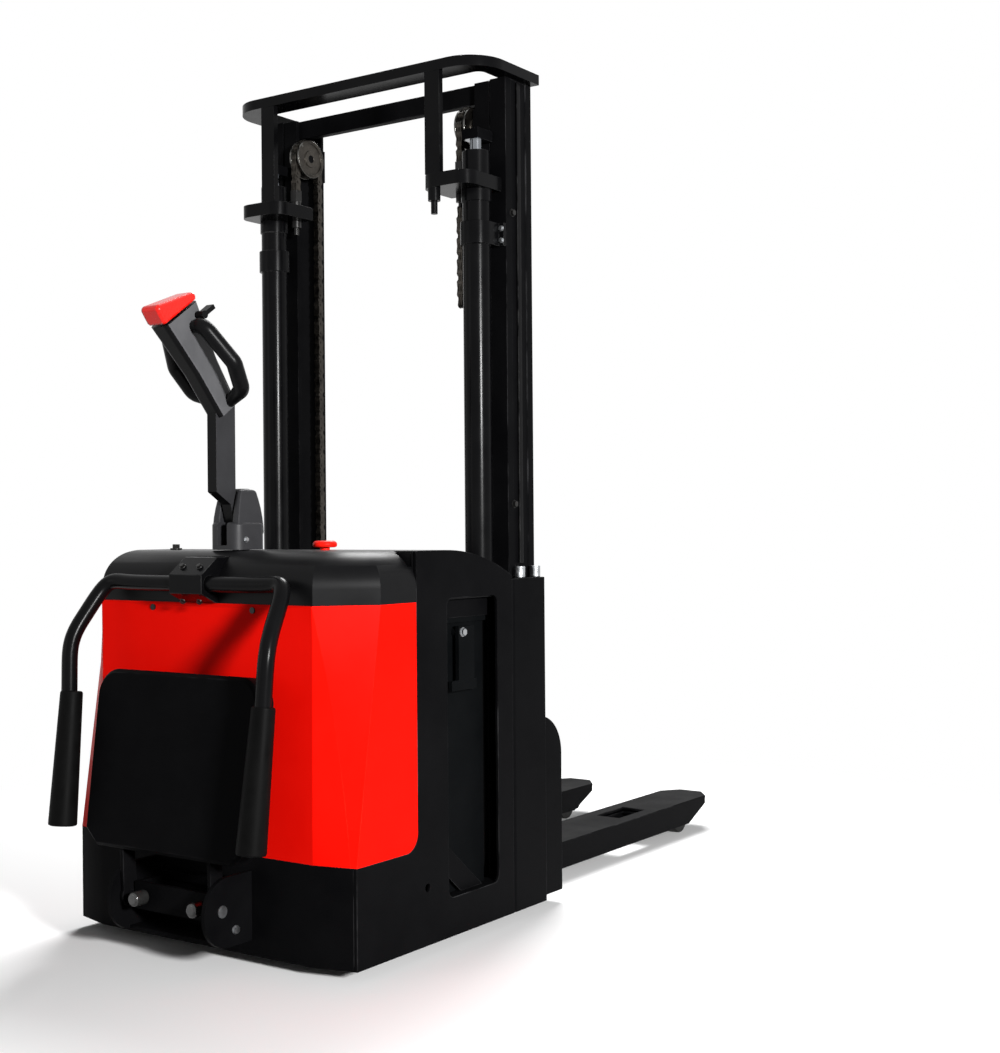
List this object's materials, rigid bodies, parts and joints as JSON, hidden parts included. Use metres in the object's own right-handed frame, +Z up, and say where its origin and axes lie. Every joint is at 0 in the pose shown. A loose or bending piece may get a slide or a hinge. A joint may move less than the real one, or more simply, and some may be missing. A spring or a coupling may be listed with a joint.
{
  "type": "pallet stacker",
  "caption": "Powered pallet stacker with a two-stage lift mast, leaf chains, straddle legs under the forks, a tiller, side arms and a fold-down platform.",
  "frame": {"origin": "on the floor, under the middle of the part's box", "axes": "+X to the right seen from behind, +Y forward along the forks, +Z up"},
  "size_m": [0.85, 2.1078, 2.06],
  "materials": {
    "black_paint": "satin black paint",
    "red_paint": "gloss red paint",
    "black_plastic": "grained black",
    "grey_plastic": "matt dark grey",
    "red_plastic": "smooth red",
    "rubber": "matt black",
    "polyurethane": "smooth tread",
    "steel": "oiled steel",
    "hard_chrome": "polished",
    "battery_case": "painted dark grey",
    "cast_housing": "painted black"
  },
  "bodies": {
    "chassis": {"side_plate_left": "black_paint", "side_plate_right": "black_paint", "base_frame": "black_paint", "post_left": "black_paint", "post_right": "black_paint", "leg_left": "black_paint", "leg_right": "black_paint", "red_cover": "red_paint", "deck_cover": "black_plastic", "arm_clamp": "black_paint", "platform_carrier": "black_paint", "platform_buffers": "rubber", "battery": "battery_case", "hydraulic_unit": "battery_case", "motor_controller": "battery_case", "outer_upright_left": "black_paint", "outer_upright_right": "black_paint", "outer_tie": "black_paint", "mast_hoop": "black_paint", "cylinder_left": "black_paint", "cylinder_right": "black_paint", "chain_anchors": "steel"},
    "inner_mast": {"inner_upright_left": "black_paint", "inner_upright_right": "black_paint", "inner_ties": "black_paint", "lift_rods": "hard_chrome", "lift_chain_left": "steel", "lift_chain_right": "steel"},
    "carriage": {"carriage_frame": "black_paint", "fork_left": "black_paint", "fork_right": "black_paint"},
    "steering": {"drive_gearbox": "cast_housing", "drive_motor": "cast_housing", "tiller_base": "black_plastic"},
    "tiller": {"tiller_arm": "black_paint", "tiller_head": "grey_plastic"},
    "platform": {"foot_platform": "black_plastic"},
    "load_roller_left": {"load_roller_left": "polyurethane"},
    "load_roller_right": {"load_roller_right": "polyurethane"},
    "top_rollers": {"top_rollers": "steel"},
    "chain_sheaves": {"chain_sheaves": "steel"},
    "inner_rollers": {"inner_rollers": "steel"},
    "carriage_rollers_upper": {"carriage_rollers_upper": "steel"},
    "carriage_rollers_lower": {"carriage_rollers_lower": "steel"},
    "drive_wheel": {"drive_wheel": "polyurethane"},
    "caster_fork_left": {"caster_fork_left": "black_paint"},
    "caster_fork_right": {"caster_fork_right": "black_paint"},
    "caster_wheel_left": {"caster_wheel_left": "polyurethane"},
    "caster_wheel_right": {"caster_wheel_right": "polyurethane"},
    "thumb_throttle": {"thumb_throttle": "black_plastic"},
    "belly_button": {"belly_button": "red_plastic"},
    "horn_button": {"horn_button": "black_plastic"},
    "lift_rocker": {"lift_rocker": "black_plastic"},
    "side_arm_left": {"side_arm_left": "black_paint"},
    "side_arm_right": {"side_arm_right": "black_paint"},
    "estop_button": {"estop_button": "red_plastic"},
    "key_switch": {"key_switch": "hard_chrome"},
    "battery_latch_left": {"battery_latch_left": "black_paint"},
    "battery_latch_right": {"battery_latch_right": "black_paint"}
  },
  "joints": [
    {"name": "mast_lift", "type": "slide", "parent": "chassis", "child": "inner_mast", "axis": [0, 0, 1], "range_m": [0, 1.38], "deforming": ["lift_chain_left", "lift_chain_right"]},
    {"name": "carriage_lift", "type": "slide", "parent": "inner_mast", "child": "carriage", "axis": [0, 0, 1], "range_m": [0, 1.38]},
    {"name": "top_roller_spin", "type": "hinge", "parent": "chassis", "child": "top_rollers", "pos_m": [0, -0.174, 1.96], "axis": [1, 0, 0], "range_deg": [0, 1866]},
    {"name": "inner_roller_spin", "type": "hinge", "parent": "inner_mast", "child": "inner_rollers", "pos_m": [0, -0.174, 0.175], "axis": [1, 0, 0], "range_deg": [0, 1823]},
    {"name": "carriage_upper_roller_spin", "type": "hinge", "parent": "carriage", "child": "carriage_rollers_upper", "pos_m": [0, -0.174, 0.395], "axis": [1, 0, 0], "range_deg": [0, 1866]},
    {"name": "carriage_lower_roller_spin", "type": "hinge", "parent": "carriage", "child": "carriage_rollers_lower", "pos_m": [0, -0.174, 0.165], "axis": [1, 0, 0], "range_deg": [0, 1866]},
    {"name": "sheave_spin", "type": "hinge", "parent": "inner_mast", "child": "chain_sheaves", "pos_m": [0, -0.213, 1.928], "axis": [1, 0, 0], "range_deg": [0, 1844]},
    {"name": "tiller_steer", "type": "hinge", "parent": "chassis", "child": "steering", "pos_m": [0, -0.75, 0.9], "axis": [0, 0, 1], "range_deg": [-85, 85]},
    {"name": "drive_wheel_spin", "type": "hinge", "parent": "steering", "child": "drive_wheel", "pos_m": [0, -0.75, 0.11], "axis": [-1, 0, 0], "continuous": true},
    {"name": "tiller_tilt", "type": "hinge", "parent": "steering", "child": "tiller", "pos_m": [0, -0.762, 0.935], "axis": [1, 0, 0], "range_deg": [0, 55], "stiffness_Nm_per_rad": 12, "springref_deg": -57.3},
    {"name": "throttle_turn", "type": "hinge", "parent": "tiller", "child": "thumb_throttle", "pos_m": [0, -0.90643, 1.41296], "axis": [1, 0, 0], "range_deg": [-20, 20], "stiffness_Nm_per_rad": 0.6},
    {"name": "belly_press", "type": "slide", "parent": "tiller", "child": "belly_button", "axis": [0, 0.5878, -0.809], "range_m": [0, 0.003], "stiffness_N_per_m": 4000, "springref_m": -0.004},
    {"name": "horn_press", "type": "slide", "parent": "tiller", "child": "horn_button", "axis": [0, -0.809, -0.5878], "range_m": [0, 0.002], "stiffness_N_per_m": 800, "springref_m": -0.002},
    {"name": "rocker_tilt", "type": "hinge", "parent": "tiller", "child": "lift_rocker", "pos_m": [0, -0.8741, 1.38207], "axis": [1, 0, 0], "range_deg": [-8, 8], "stiffness_Nm_per_rad": 0.3},
    {"name": "side_arm_left_fold", "type": "hinge", "parent": "chassis", "child": "side_arm_left", "pos_m": [-0.04, -0.899, 0.825], "axis": [-1, 0, 0], "range_deg": [0, 85]},
    {"name": "side_arm_right_fold", "type": "hinge", "parent": "chassis", "child": "side_arm_right", "pos_m": [0.04, -0.899, 0.825], "axis": [-1, 0, 0], "range_deg": [0, 85]},
    {"name": "platform_fold", "type": "hinge", "parent": "chassis", "child": "platform", "pos_m": [0, -0.97, 0.138], "axis": [1, 0, 0], "range_deg": [0, 97.5]},
    {"name": "caster_left_swivel", "type": "hinge", "parent": "chassis", "child": "caster_fork_left", "pos_m": [-0.31, -0.73, 0.22], "axis": [0, 0, 1], "continuous": true},
    {"name": "caster_right_swivel", "type": "hinge", "parent": "chassis", "child": "caster_fork_right", "pos_m": [0.31, -0.73, 0.22], "axis": [0, 0, 1], "continuous": true},
    {"name": "caster_left_spin", "type": "hinge", "parent": "caster_fork_left", "child": "caster_wheel_left", "pos_m": [-0.31, -0.77, 0.0625], "axis": [-1, 0, 0], "continuous": true},
    {"name": "caster_right_spin", "type": "hinge", "parent": "caster_fork_right", "child": "caster_wheel_right", "pos_m": [0.31, -0.77, 0.0625], "axis": [-1, 0, 0], "continuous": true},
    {"name": "load_roller_left_spin", "type": "hinge", "parent": "chassis", "child": "load_roller_left", "pos_m": [-0.205, 0.89, 0.04], "axis": [-1, 0, 0], "continuous": true},
    {"name": "load_roller_right_spin", "type": "hinge", "parent": "chassis", "child": "load_roller_right", "pos_m": [0.205, 0.89, 0.04], "axis": [-1, 0, 0], "continuous": true},
    {"name": "estop_press", "type": "slide", "parent": "chassis", "child": "estop_button", "axis": [0, 0, -1], "range_m": [0, 0.005], "stiffness_N_per_m": 1000, "springref_m": -0.003},
    {"name": "key_turn", "type": "hinge", "parent": "chassis", "child": "key_switch", "pos_m": [-0.232, -0.73, 0.896], "axis": [0, 0, -1], "range_deg": [0, 90]},
    {"name": "battery_latch_left_turn", "type": "hinge", "parent": "chassis", "child": "battery_latch_left", "pos_m": [-0.405, -0.458, 0.705], "axis": [1, 0, 0], "range_deg": [0, 80]},
    {"name": "battery_latch_right_turn", "type": "hinge", "parent": "chassis", "child": "battery_latch_right", "pos_m": [0.405, -0.458, 0.705], "axis": [1, 0, 0], "range_deg": [0, 80]}
  ],
  "couplings": [
    {"joint": "carriage_lift", "follows": "mast_lift", "ratio": 1},
    {"joint": "top_roller_spin", "follows": "mast_lift", "rad_per_m": 23.529},
    {"joint": "inner_roller_spin", "follows": "mast_lift", "rad_per_m": 22.989},
    {"joint": "carriage_upper_roller_spin", "follows": "mast_lift", "rad_per_m": 23.529},
    {"joint": "carriage_lower_roller_spin", "follows": "mast_lift", "rad_per_m": 23.529},
    {"joint": "sheave_spin", "follows": "mast_lift", "rad_per_m": 23.256}
  ]
}
